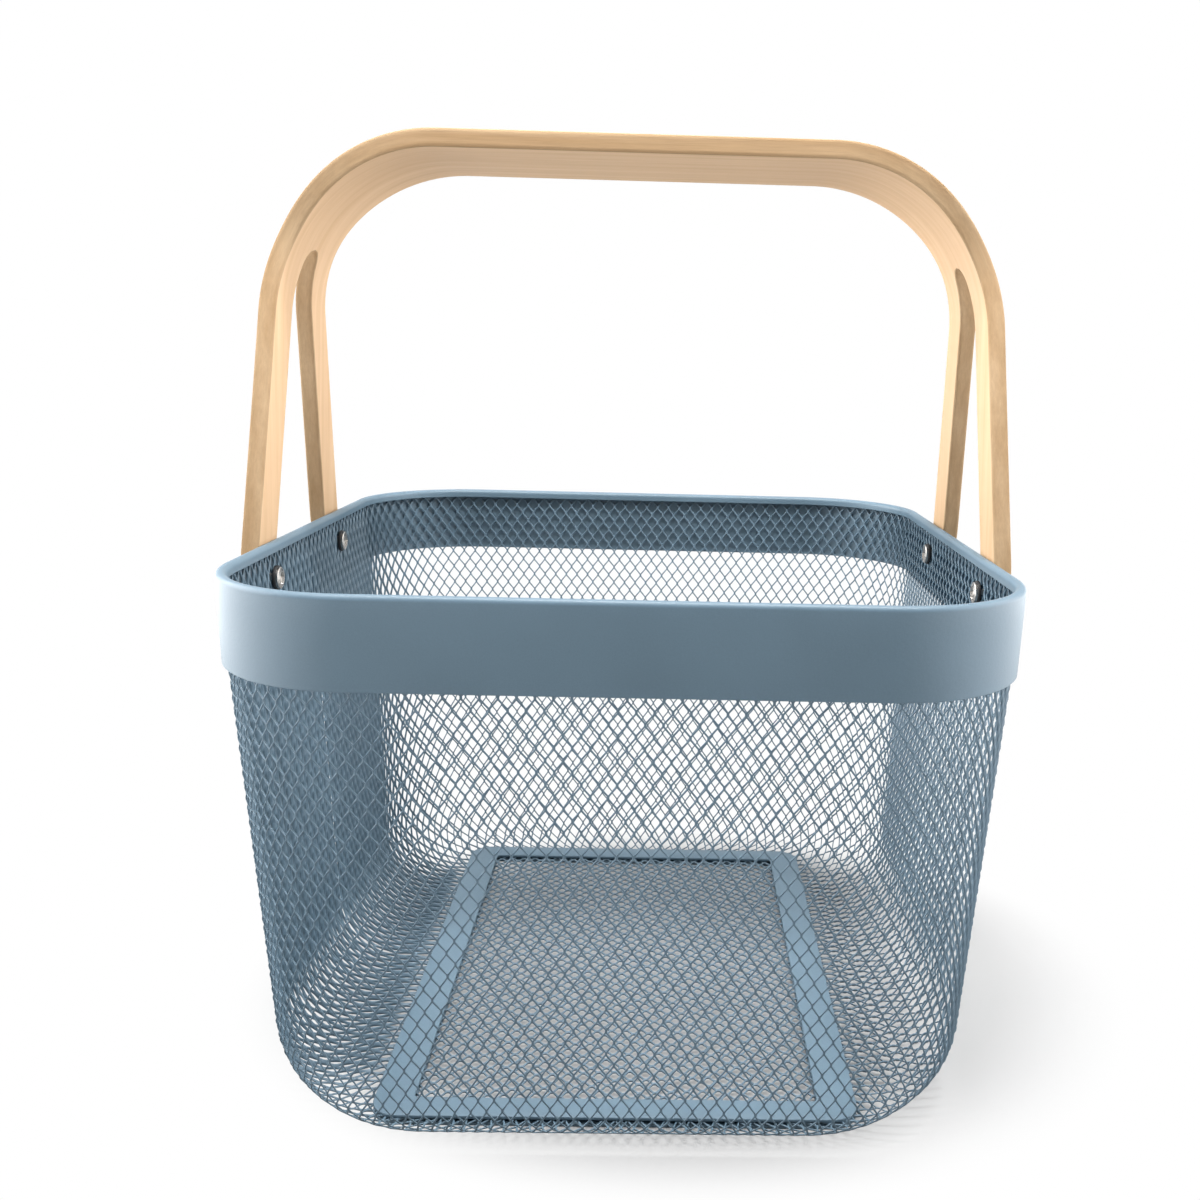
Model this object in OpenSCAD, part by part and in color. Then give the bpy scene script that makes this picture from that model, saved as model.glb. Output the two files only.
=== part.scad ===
/* [Basket] */
// Outer width of the rim band, side to side
basket_w = 250; // [220:1:300]
// Outer depth of the rim band, front to back
basket_d = 258; // [220:1:320]
// Height of the basket, from the table to the top of the rim
basket_h = 178.3; // [140:0.1:240]
// Outer corner radius of the rim band, seen from above
rim_corner_r = 48; // [36:1:60]

/* [Rim band] */
// Height of the sheet-steel band round the mouth
band_h = 28; // [20:1:40]
// Thickness of the band's sheet steel
band_t = 0.8; // [0.6:0.1:1.2]
// How far the band leans inwards per millimetre of height
band_lean = 0.03; // [0:0.01:0.06]
// Outer diameter of the hem rolled round the rim wire
hem_d = 3.6; // [3:0.2:5]

/* [Wire mesh] */
// Thickness of the expanded-steel mesh
mesh_t = 1.15; // [0.8:0.05:1.5]
// How far the mesh wall is set in from the rim where the floor bend starts
wall_inset = 8; // [4:0.5:12]
// Corner radius of the mesh tub where the floor bend starts
tub_corner_r = 50; // [40:1:55]
// Radius of the bend from the side walls to the floor
side_bend_r = 26; // [20:1:36]
// Radius of the bend from the front and rear walls to the floor
end_bend_r = 12; // [8:1:14]

/* [Floor frames] */
// Width of the strip frame that clamps the mesh floor
frame_w = 159; // [130:1:162]
// Depth of the strip frame
frame_d = 213.6; // [170:0.2:213.6]
// Width of the strip along the frame's two sides
side_strip_w = 13; // [10:0.5:16]
// Width of the strip across the frame's front and rear
end_strip_w = 10; // [8:0.5:12]
// Thickness of the strip
strip_t = 1.2; // [0.8:0.1:1.6]

/* [Handle] */
// Height of the handle's top face above the rim
handle_rise = 137.5; // [100:0.5:180]
// Thickness of the laminated birch
handle_t = 6; // [5:0.2:8]
// Outer radius of the handle's two bends
handle_bend_r = 62; // [45:1:70]
// How far the legs lean inwards per millimetre of height
leg_lean = 0.04; // [0.01:0.01:0.06]
// Half the width of the handle along its flat top
grip_half_w = 34.5; // [28:0.5:40]
// Half the width of the handle at its waist, in the bends
waist_half_w = 26.2; // [24:0.2:30]
// Thickness of each of the two face veneers
veneer_t = 1.2; // [0.8:0.1:1.5]

/* [Fasteners] */
// Distance from the basket's middle to each screw, front to back
screw_y = 41.5; // [38:0.5:46]
// Depth of the screws below the top of the rim
screw_drop = 12.6; // [10:0.2:16]
// Diameter of the screw's shank
shank_d = 4; // [3:0.5:4]
// Diameter of the screw's head
screw_head_d = 7.6; // [7:0.2:9]
// Diameter of the black washer
washer_d = 8.6; // [8:0.2:10]

/* [Hidden] */

steel_blue = [0.36, 0.44, 0.51];
birch = [0.86, 0.73, 0.57];
zinc = [0.75, 0.75, 0.74];
black = [0.07, 0.07, 0.07];

fit_gap = 0.06;                       // air left between pieces that touch
half_w = basket_w / 2;
half_d = basket_d / 2;
rim_cx = half_w - rim_corner_r;       // centre of the rim's corner arcs
rim_cy = half_d - rim_corner_r;
hem_r = hem_d / 2;
hem_z = basket_h - hem_r;             // height of the rim wire's centre line
wire_r = hem_r - band_t - 0.02;
band_z = basket_h - band_h;           // lower edge of the band

mesh_z = strip_t;                     // underside of the mesh floor, on the foot frame
mesh_top_z = hem_z - wire_r - 0.2;    // the mesh ends under the rim wire, inside the hem
frame_z = mesh_z + mesh_t;            // the upper frame lies on the mesh floor
frame_corner_r = 9;
panel_gap = 0.4;                      // air round the floor panel, both sides together
clamped_corner_r = 0.5;               // corner radius of the tub's clamped inner edge
arc_steps = 10;                       // facets in each quarter turn of the tub's corners
bend_steps = 6;                       // facets in the bend from wall to floor

leg_top_r = handle_bend_r;
handle_top_z = basket_h + handle_rise;
leg_foot_z = band_z + 4;              // lower end of the legs, just above the band's edge
leg_angle = atan(leg_lean);
waist_z = handle_top_z - 32.5;        // height of the handle's narrowest place
waist_soft = 12;                      // length over which the waist is rounded
splay = 0.245;                        // spread of each leg's outer edge per millimetre of drop
slit_splay = 0.229;                   // spread of the slit's edge per millimetre of drop
slit_top_z = handle_top_z - 9.5;        // where the slit's two edges would meet
slit_arch_z = 273;                      // middle of the arch that the slit starts in
foot_round = 6;

screw_z = basket_h - screw_drop;
band_x = half_w - band_lean * screw_drop;     // the band's outer face at the screws
washer_t = 1.2;
screw_head_h = 1.4;
dome_rise = 0.5;                        // how far the screw's domed face rises over its edge
socket_d = 4.6;                       // across the corners of the screw's hexagon socket
socket_depth = 0.9;
head_x = band_x - band_t - mesh_t - washer_t - 0.35;   // inner face of the washer
nut_d = 5.6;
nut_cap_d = 9;
nut_cap_h = 1;
leg_out_x = band_x + fit_gap + handle_t;

// ---------- the mesh tub, a thin shell that stands for the lattice ----------

function mix(a, b, t) = a + (b - a) * t;

// radius of the floor bend at corner angle a: the side's at 0, the end's at 90 degrees
function bend_r(a) = mix(side_bend_r, end_bend_r, pow(sin(a), 2));

// one point of the tub at corner angle a; level 0..2 is the wall, 2..3 the floor bend, 4 the
// clamped inner edge; off is the depth into the sheet. Returns [distance out of the corner's
// centre, centre x, centre y, height].
function tub_row(a, level, off) =
    level <= 1 ? [mix(rim_corner_r - 1, rim_corner_r - 2, level) - off,
        rim_cx, rim_cy, mix(mesh_top_z, band_z, level)]
    : level <= 2 ? [mix(rim_corner_r - 2, tub_corner_r, level - 1) - off,
        mix(rim_cx, half_w - wall_inset - tub_corner_r, level - 1),
        mix(rim_cy, half_d - wall_inset - tub_corner_r, level - 1),
        mix(band_z, mesh_z + bend_r(a), level - 1)]
    : level <= 3 ? [tub_corner_r - bend_r(a) + (bend_r(a) - off) * cos(90 * (level - 2)),
        half_w - wall_inset - tub_corner_r, half_d - wall_inset - tub_corner_r,
        mesh_z + bend_r(a) - (bend_r(a) - off) * sin(90 * (level - 2))]
    : [clamped_corner_r, (frame_w - side_strip_w) / 2 - clamped_corner_r,
        (frame_d - end_strip_w) / 2 - clamped_corner_r, mesh_z + off];

function tub_point(a, sx, level, off) =
    let (r = tub_row(a, level, off)) [sx * (r[1] + r[0] * cos(a)), -(r[2] + r[0] * sin(a)), r[3]];

levels = concat([0, 1, 2], [for (i = [1:bend_steps]) 2 + i / bend_steps], [4]);

// half a ring of the tub, from its right side round the front to its left side
function half_ring(level, off) = let (side = tub_point(0, 1, level, off)) concat(
    [[side[0], 0, side[2]]],
    [for (i = [0:arc_steps]) tub_point(90 * i / arc_steps, 1, level, off)],
    [for (i = [arc_steps:-1:0]) tub_point(90 * i / arc_steps, -1, level, off)],
    [[-side[0], 0, side[2]]]);

ring_n = 2 * arc_steps + 4;
level_n = len(levels);

function quad(a, b, c, d) = [[a, b, c], [a, c, d]];

module half_tub() {
    points = [for (off = [0, mesh_t]) for (l = levels) each half_ring(l, off)];
    inner = ring_n * level_n;
    skin = [for (i = [0:level_n - 2]) for (j = [0:ring_n - 2]) let (p = i * ring_n + j)
        each concat(quad(p, p + 1, p + ring_n + 1, p + ring_n),
            quad(inner + p, inner + p + ring_n, inner + p + ring_n + 1, inner + p + 1))];
    last = (level_n - 1) * ring_n;
    rims = [for (j = [0:ring_n - 2]) each concat(quad(j, inner + j, inner + j + 1, j + 1),
        quad(last + j, last + j + 1, inner + last + j + 1, inner + last + j))];
    seams = [for (i = [0:level_n - 2]) let (p = i * ring_n, q = p + ring_n - 1)
        each concat(quad(p, p + ring_n, inner + p + ring_n, inner + p),
            quad(q, inner + q, inner + q + ring_n, q + ring_n))];
    polyhedron(points, concat(skin, rims, seams), convexity = 6);
}

module mesh_half(front) {
    color(steel_blue) difference() {
        mirror([0, front ? 0 : 1, 0]) translate([0, -fit_gap / 2, 0]) half_tub();
        screw_holes();
    }
}

module screw_holes() {
    for (y = [-screw_y, screw_y])
        translate([-half_w - 10, y, screw_z]) rotate([0, 90, 0])
            cylinder(h = basket_w + 20, d = shank_d + 0.4, $fn = 32);
}

module mesh_floor_panel() {
    color(steel_blue)
        translate([0, 0, mesh_z + mesh_t / 2])
            cube([frame_w - side_strip_w - panel_gap, frame_d - end_strip_w - panel_gap,
                mesh_t - 2 * fit_gap / 3], center = true);
}

// ---------- the rim ----------

// sweeps a profile drawn as [distance out of the corner's centre, height] round the mouth
module round_the_rim() {
    for (sx = [-1, 1]) for (sy = [-1, 1])
        translate([sx * rim_cx, sy * rim_cy, 0])
            rotate([0, 0, sx > 0 ? (sy > 0 ? 0 : -90) : (sy > 0 ? 90 : 180)])
                rotate_extrude(angle = 90, $fn = 120) children();
    for (s = [0, 1]) rotate([0, 0, 180 * s]) {
        translate([rim_cx, rim_cy, 0]) rotate([90, 0, 0]) linear_extrude(2 * rim_cy) children();
        translate([-rim_cx, rim_cy, 0]) rotate([90, 0, 90]) linear_extrude(2 * rim_cx)
            children();
    }
}

module band_profile() {
    r = rim_corner_r;
    drop = band_lean * (hem_z - band_z);
    difference() {
        union() {
            translate([r - hem_r, hem_z]) circle(hem_r, $fn = 48);
            translate([r - hem_d, hem_z - hem_r]) square([hem_d, hem_r]);
            polygon([[r, hem_z], [r - band_t, hem_z], [r - band_t - drop, band_z],
                [r - drop, band_z]]);
        }
        translate([r - hem_r, hem_z]) circle(hem_r - band_t, $fn = 48);
        translate([r - hem_d + band_t, hem_z - hem_r - 1])
            square([hem_d - 2 * band_t, hem_r + 1]);
    }
}

module rim_band() {
    color(steel_blue) difference() {
        round_the_rim() band_profile();
        screw_holes();
    }
}

module rim_wire() {
    color(steel_blue) round_the_rim()
        translate([rim_corner_r - hem_r, hem_z]) circle(wire_r, $fn = 32);
}

// ---------- the two strip frames that clamp the mesh floor ----------

module strip_frame(w, d, z) {
    r = frame_corner_r;
    translate([0, 0, z]) linear_extrude(strip_t - fit_gap / 3) difference() {
        union() {
            square([w - 2 * r, d], center = true);
            square([w, d - 2 * r], center = true);
            for (x = [-1, 1]) for (y = [-1, 1])
                translate([x * (w / 2 - r), y * (d / 2 - r)]) circle(r, $fn = 48);
        }
        square([w - 2 * side_strip_w, d - 2 * end_strip_w], center = true);
    }
}

module floor_frame() {
    color(steel_blue) strip_frame(frame_w, frame_d, frame_z + fit_gap / 3);
}

module foot_frame() {
    color(steel_blue) strip_frame(frame_w, frame_d, 0);
}

// ---------- the handle, a birch lamination bent into a U whose legs are slit in two ----------

// the space inside the handle's outer face moved in by off, as seen from the front
module handle_arch(off) {
    r = handle_bend_r - off;
    kink_x = half_w + fit_gap + handle_t - off;
    top = handle_top_z - off;
    arc_z = top - r;
    arc_x = kink_x - (arc_z - hem_z) * leg_lean - r / cos(leg_angle);
    foot_x = kink_x - band_lean * (hem_z - leg_foot_z);
    tip_x = arc_x + r * cos(leg_angle);
    tip_z = arc_z + r * sin(leg_angle);
    polygon([[foot_x, leg_foot_z], [kink_x, hem_z], [tip_x, tip_z], [arc_x, top],
        [-arc_x, top], [-tip_x, tip_z], [-kink_x, hem_z], [-foot_x, leg_foot_z]]);
    for (s = [-1, 1]) translate([s * arc_x, arc_z]) circle(r, $fn = 180);
}

function soft(d) = sqrt(d * d + waist_soft * waist_soft) - waist_soft;
flare = (grip_half_w - waist_half_w) / soft(handle_top_z - waist_z);
function edge_y(z) = waist_half_w + soft(z - waist_z) * (z > waist_z ? flare : splay);
function slit_y(z) = slit_splay * (slit_top_z - z);

// one leg's foot, drawn square and then rounded at both corners
module foot_corners(r) {
    for (s = [-1, 1]) {
        y0 = slit_y(leg_foot_z);
        y1 = edge_y(leg_foot_z);
        translate([s * (y1 + y0) / 2, leg_foot_z]) difference() {
            translate([-(y1 - y0) / 2 - 3, -1]) square([y1 - y0 + 6, r + 1]);
            for (c = [-1, 1]) translate([c * ((y1 - y0) / 2 - r) + s * splay * r, r])
                circle(r, $fn = 48);
            translate([-(y1 - y0) / 2 + r, 0]) square([y1 - y0 - 2 * r, r + 1]);
        }
    }
}

// the handle as seen from the side: waisted at the bends, then slit into two splayed legs
module handle_side() {
    steps = 44;
    z_at = [for (i = [0:steps]) mix(leg_foot_z, handle_top_z + 1, i / steps)];
    slit_angle = atan(slit_splay);
    slit_r = slit_y(slit_arch_z) * cos(slit_angle);
    arch_end_z = slit_arch_z + slit_r * sin(slit_angle);
    difference() {
        polygon(concat([for (z = z_at) [edge_y(z), z]],
            [for (i = [steps:-1:0]) [-edge_y(z_at[i]), z_at[i]]]));
        polygon([[slit_y(arch_end_z), arch_end_z], [slit_y(leg_foot_z - 1), leg_foot_z - 1],
            [-slit_y(leg_foot_z - 1), leg_foot_z - 1], [-slit_y(arch_end_z), arch_end_z]]);
        translate([0, slit_arch_z]) circle(slit_r, $fn = 64);
        foot_corners(foot_round);
    }
}

// the layer of the lamination between depths near and far below the outer face
module handle_layer(near, far) {
    color(birch) difference() {
        intersection() {
            translate([0, 100, 0]) rotate([90, 0, 0]) linear_extrude(200) difference() {
                handle_arch(near);
                handle_arch(far);
            }
            translate([-200, 0, 0]) rotate([90, 0, 90]) linear_extrude(400) handle_side();
        }
        for (y = [-screw_y, screw_y]) translate([-200, y, screw_z]) rotate([0, 90, 0])
            cylinder(h = 400, d = nut_d + 0.1, $fn = 32);
    }
}

module handle_outer_veneer() { handle_layer(0, veneer_t); }
module handle_core() { handle_layer(veneer_t, handle_t - veneer_t); }
module handle_inner_veneer() { handle_layer(handle_t - veneer_t, handle_t); }

// ---------- fasteners, each drawn on the right-hand side and mirrored ----------

module at_screw(sx, sy) {
    mirror([sx < 0 ? 1 : 0, 0, 0]) translate([0, sy * screw_y, screw_z]) rotate([0, 90, 0])
        children();
}

module screw(sx, sy) {
    dome_r = (pow(screw_head_d / 2, 2) + pow(dome_rise, 2)) / (2 * dome_rise);
    color(zinc) at_screw(sx, sy) difference() {
        union() {
            translate([0, 0, head_x - screw_head_h]) intersection() {
                cylinder(h = screw_head_h, d = screw_head_d, $fn = 64);
                translate([0, 0, dome_r]) sphere(dome_r, $fn = 96);
            }
            translate([0, 0, head_x - 0.1])
                cylinder(h = leg_out_x - 1.2 - head_x, d = shank_d, $fn = 32);
        }
        translate([0, 0, head_x - screw_head_h - 1])
            cylinder(h = socket_depth + 1, d = socket_d, $fn = 6);
    }
}

module washer(sx, sy) {
    color(black) at_screw(sx, sy) translate([0, 0, head_x + fit_gap]) difference() {
        cylinder(h = washer_t, d = washer_d, $fn = 64);
        translate([0, 0, -1]) cylinder(h = washer_t + 2, d = shank_d + 0.2, $fn = 32);
    }
}

module sleeve_nut(sx, sy) {
    color(zinc) at_screw(sx, sy) difference() {
        union() {
            translate([0, 0, band_x + 0.4])
                cylinder(h = leg_out_x - band_x - 0.4, d = nut_d, $fn = 48);
            translate([0, 0, leg_out_x + fit_gap])
                cylinder(h = nut_cap_h - 0.4, d = nut_cap_d, $fn = 64);
            translate([0, 0, leg_out_x + fit_gap + nut_cap_h - 0.4])
                cylinder(h = 0.4, d1 = nut_cap_d, d2 = nut_cap_d - 1.2, $fn = 64);
            translate([0, 0, leg_out_x - 0.5]) cylinder(h = 1, d = nut_d, $fn = 48);
        }
        translate([0, 0, band_x]) cylinder(h = handle_t - 0.9, d = shank_d + 0.1, $fn = 32);
    }
}

mesh_half(true);  // mesh_front_half
mesh_half(false);  // mesh_rear_half
mesh_floor_panel();
rim_band();
rim_wire();
floor_frame();
foot_frame();
handle_core();
handle_outer_veneer();
handle_inner_veneer();
screw(-1, -1);  // screw_front_left
screw(1, -1);  // screw_front_right
screw(-1, 1);  // screw_rear_left
screw(1, 1);  // screw_rear_right
washer(-1, -1);  // washer_front_left
washer(1, -1);  // washer_front_right
washer(-1, 1);  // washer_rear_left
washer(1, 1);  // washer_rear_right
sleeve_nut(-1, -1);  // sleeve_nut_front_left
sleeve_nut(1, -1);  // sleeve_nut_front_right
sleeve_nut(-1, 1);  // sleeve_nut_rear_left
sleeve_nut(1, 1);  // sleeve_nut_rear_right
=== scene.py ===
"""The looks of a wire produce basket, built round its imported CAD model.

Lengths in this script are in millimetres until the mesh builder turns them into metres. The studio at
the end is in metres from the start. The frame is the CAD model's own: +X to the basket's right, +Y to
its rear, +Z up, with the origin on the table.
"""

import math

import bpy
import numpy as np
from mathutils import Matrix, Vector


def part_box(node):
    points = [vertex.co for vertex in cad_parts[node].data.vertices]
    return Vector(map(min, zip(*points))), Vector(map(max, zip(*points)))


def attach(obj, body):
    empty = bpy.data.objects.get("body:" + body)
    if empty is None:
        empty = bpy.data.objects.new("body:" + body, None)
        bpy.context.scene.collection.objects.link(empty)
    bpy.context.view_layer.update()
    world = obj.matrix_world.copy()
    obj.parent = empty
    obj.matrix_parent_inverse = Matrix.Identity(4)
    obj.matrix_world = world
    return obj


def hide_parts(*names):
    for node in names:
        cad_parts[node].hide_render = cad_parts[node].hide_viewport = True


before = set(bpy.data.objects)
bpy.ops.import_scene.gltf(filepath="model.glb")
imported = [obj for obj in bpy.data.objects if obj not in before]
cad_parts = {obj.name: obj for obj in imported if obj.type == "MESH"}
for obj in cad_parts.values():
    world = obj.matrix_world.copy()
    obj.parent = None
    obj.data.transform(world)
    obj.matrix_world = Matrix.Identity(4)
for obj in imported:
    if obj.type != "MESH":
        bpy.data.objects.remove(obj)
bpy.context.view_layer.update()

MM = 0.001


def node_box(node):
    """A CAD node's lowest and highest corner, in millimetres."""
    low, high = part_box(node)
    return np.array(low) / MM, np.array(high) / MM


# ---------- sizes, worked out from the frame ----------

band_low, band_high = node_box("rim_band")
HALF_W = band_high[0]
HALF_D = band_high[1]
RIM_Z = band_high[2]
BAND_Z = band_low[2]
RIM_CORNER_R = 48.0
BAND_T = 0.8
BAND_LEAN = 0.03
HEM_R = 1.8
HEM_Z = RIM_Z - HEM_R

_, strip_high = node_box("floor_frame")
FRAME_HALF_W = strip_high[0]
FRAME_HALF_D = strip_high[1]
SIDE_STRIP_W = 13.0
END_STRIP_W = 10.0
FRAME_CORNER_R = 9.0
FRAME_INNER_R = 1.5

mesh_low, mesh_high = node_box("mesh_front_half")
MESH_T = 1.15
HALF_MESH_T = MESH_T / 2
MESH_LIFT = 0.58  # half the sheet, rounded up
MESH_MID_Z = mesh_low[2] + MESH_LIFT
ROOM_UNDER_WIRE = 0.3
MESH_TOP_Z = mesh_high[2] - ROOM_UNDER_WIRE

handle_low, handle_high = node_box("handle_outer_veneer")
HANDLE_TOP_Z = handle_high[2]
FOOT_Z = handle_low[2]
HANDLE_T = 6.0
VENEER_T = 1.2
KINK_X = handle_high[0]
HANDLE_R = 62.0
LEG_LEAN = 0.04
GRIP_HALF_W = 34.5
WAIST_HALF_W = 26.2
WAIST_Z = HANDLE_TOP_Z - 32.5
WAIST_SOFT = 12.0
SPLAY = 0.245
SLIT_SPLAY = 0.229
SLIT_TOP_Z = HANDLE_TOP_Z - 9.5
SLIT_ARCH_Z = 273.0
SLIT_ARCH_R = SLIT_SPLAY * (SLIT_TOP_Z - SLIT_ARCH_Z) * math.cos(math.atan(SLIT_SPLAY))
FOOT_ROUND = 6.0
FOOT_END = 9.0  # length of leg over which the foot's corners are rounded
WOOD_ROUND = 0.7  # radius of the handle's outside edges


# ---------- building blocks ----------

# How far in the middle of a rounded edge lies from both faces, as a share of its radius.
EDGE_MIDDLE = 0.3
TURN_SIDES = 48
TURN_ANGLES = np.arange(TURN_SIDES) * 2 * math.pi / TURN_SIDES


def mix(a, b, t):
    """The value that lies the share t of the way from a to b."""
    return a + (b - a) * t


def unit(v):
    """Vectors brought to length one."""
    return v / np.linalg.norm(v, axis=-1, keepdims=True)


def build(name, points, faces, material, smooth_angle=40.0):
    """A mesh object from points in millimetres, shaded smooth below the given angle."""
    mesh = bpy.data.meshes.new(name)
    mesh.from_pydata((np.asarray(points, float) * MM).tolist(), [], faces)
    mesh.update()
    mesh.shade_smooth()
    if smooth_angle < 180:
        mesh.set_sharp_from_angle(angle=math.radians(smooth_angle))
    mesh.materials.append(material)
    piece = bpy.data.objects.new(name, mesh)
    bpy.context.scene.collection.objects.link(piece)
    return piece


def finish_piece(piece, slot, *nodes):
    """The piece rides on the one body and stands for its CAD nodes, which it hides. slot is not used."""
    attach(piece, "root")
    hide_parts(*nodes)
    return piece


def outward(points, faces):
    """The faces, all turned over if they face inwards as they are."""
    points = np.asarray(points, float)
    volume = 0.0
    for size in {len(face) for face in faces}:
        corners = points[np.array([face for face in faces if len(face) == size])]
        for k in range(1, size - 1):
            volume += np.sum(corners[:, 0] * np.cross(corners[:, k], corners[:, k + 1]))
    return faces if volume > 0 else [face[::-1] for face in faces]


def rounded_ring(half_x, half_y, corner_r, arc_steps):
    """Points of a rounded rectangle, anticlockwise from the right-hand side's rear end."""
    angles = np.linspace(0, math.pi / 2, arc_steps + 1)
    points = []
    for quarter in range(4):
        sx = 1 if quarter in (0, 3) else -1
        sy = 1 if quarter in (0, 1) else -1
        centre = np.array([sx * (half_x - corner_r), sy * (half_y - corner_r)])
        turned = angles + quarter * math.pi / 2
        arc = np.stack([np.cos(turned), np.sin(turned)], 1)
        points.append(centre + corner_r * arc)
    return np.concatenate(points)


def swept_ring(name, profile, ring_at, material, smooth_angle=40.0):
    """Sweeps a closed profile of (inset, height) points round the rings that ring_at(inset) gives."""
    rings = [ring_at(inset) for inset, _ in profile]
    n = len(rings[0])
    points = [
        np.column_stack([ring, np.full(n, height)])
        for ring, (_, height) in zip(rings, profile)
    ]
    faces = []
    for i in range(len(profile)):
        here, there = i * n, (i + 1) % len(profile) * n
        for j in range(n):
            k = (j + 1) % n
            faces.append([here + j, here + k, there + k, there + j])
    points = np.concatenate(points)
    return build(name, points, outward(points, faces), material, smooth_angle)


def arc_points(centre, radius, start, end, steps):
    """Points (x, y) along an arc, both ends included. Angles are in degrees."""
    angles = np.radians(np.linspace(start, end, steps + 1))
    return [
        (centre[0] + radius * math.cos(a), centre[1] + radius * math.sin(a))
        for a in angles
    ]


# ---------- materials ----------


def new_material(name):
    """An empty node material with its shader, its output and a link maker."""
    material = bpy.data.materials.new(name)
    material.use_nodes = True
    nodes = material.node_tree.nodes
    links = material.node_tree.links
    nodes.clear()
    output = nodes.new("ShaderNodeOutputMaterial")
    shader = nodes.new("ShaderNodeBsdfPrincipled")
    links.new(shader.outputs["BSDF"], output.inputs["Surface"])
    return material, nodes, links, shader


def noise(nodes, links, vector, scale, detail=3.0, roughness=0.5):
    node = nodes.new("ShaderNodeTexNoise")
    node.inputs["Scale"].default_value = scale
    node.inputs["Detail"].default_value = detail
    node.inputs["Roughness"].default_value = roughness
    links.new(vector, node.inputs["Vector"])
    return node


def ramp(nodes, links, value, stops):
    node = nodes.new("ShaderNodeValToRGB")
    while len(node.color_ramp.elements) < len(stops):
        node.color_ramp.elements.new(0.5)
    for element, (position, colour) in zip(node.color_ramp.elements, stops):
        element.position = position
        element.color = (*colour, 1.0)
    links.new(value, node.inputs["Fac"])
    return node


def spread(nodes, links, value, low, high, to_low, to_high):
    """A value mapped from one range to another."""
    node = nodes.new("ShaderNodeMapRange")
    for key, number in (
        ("From Min", low),
        ("From Max", high),
        ("To Min", to_low),
        ("To Max", to_high),
    ):
        node.inputs[key].default_value = number
    links.new(value, node.inputs["Value"])
    return node


def blend_colours(nodes, links, factor, a, b, mode="MIX"):
    """A Mix node in colour mode. factor, a and b are sockets or plain values."""
    node = nodes.new("ShaderNodeMix")
    node.data_type = "RGBA"
    node.blend_type = mode
    for socket, value in ((0, factor), (6, a), (7, b)):
        if isinstance(value, (int, float)):
            node.inputs[socket].default_value = value
        elif isinstance(value, tuple):
            node.inputs[socket].default_value = (*value, 1.0)
        else:
            links.new(value, node.inputs[socket])
    return node.outputs[2]


def arithmetic(nodes, links, operation, a, b):
    """A Math node. a and b are sockets or plain values."""
    node = nodes.new("ShaderNodeMath")
    node.operation = operation
    for socket, value in ((0, a), (1, b)):
        if isinstance(value, (int, float)):
            node.inputs[socket].default_value = value
        else:
            links.new(value, node.inputs[socket])
    return node.outputs["Value"]


def bump(nodes, links, height, distance, strength, onto=None):
    node = nodes.new("ShaderNodeBump")
    node.inputs["Strength"].default_value = strength
    node.inputs["Distance"].default_value = distance
    links.new(height, node.inputs["Height"])
    if onto is not None:
        links.new(onto, node.inputs["Normal"])
    return node.outputs["Normal"]


def powder_coat(name, colour, roughness, peel):
    """Satin powder coat: a baked-on skin with fine orange peel and faint cloudiness."""
    material, nodes, links, shader = new_material(name)
    place = nodes.new("ShaderNodeTexCoord").outputs["Object"]
    cloud = noise(nodes, links, place, 28.0, 4.0)
    light = tuple(min(1.0, c * 1.06) for c in colour)
    dark = tuple(c * 0.94 for c in colour)
    tint = ramp(nodes, links, cloud.outputs["Fac"], [(0.3, dark), (0.7, light)])
    speck = noise(nodes, links, place, 2600.0, 2.0)
    grain = spread(nodes, links, speck.outputs["Fac"], 0.3, 0.7, 0.97, 1.03)
    links.new(
        blend_colours(
            nodes, links, 1.0, tint.outputs["Color"], grain.outputs["Result"], "MULTIPLY"
        ),
        shader.inputs["Base Color"],
    )
    rough = spread(
        nodes, links, cloud.outputs["Fac"], 0.3, 0.7, roughness - 0.04, roughness + 0.04
    )
    links.new(rough.outputs["Result"], shader.inputs["Roughness"])
    orange = noise(nodes, links, place, 900.0, 2.0, 0.4)
    fine = noise(nodes, links, place, 3200.0, 2.0, 0.6)
    first = bump(nodes, links, orange.outputs["Fac"], 0.00009, peel)
    links.new(
        bump(nodes, links, fine.outputs["Fac"], 0.00003, peel, first),
        shader.inputs["Normal"],
    )
    shader.inputs["Specular IOR Level"].default_value = 0.5
    return material


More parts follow.
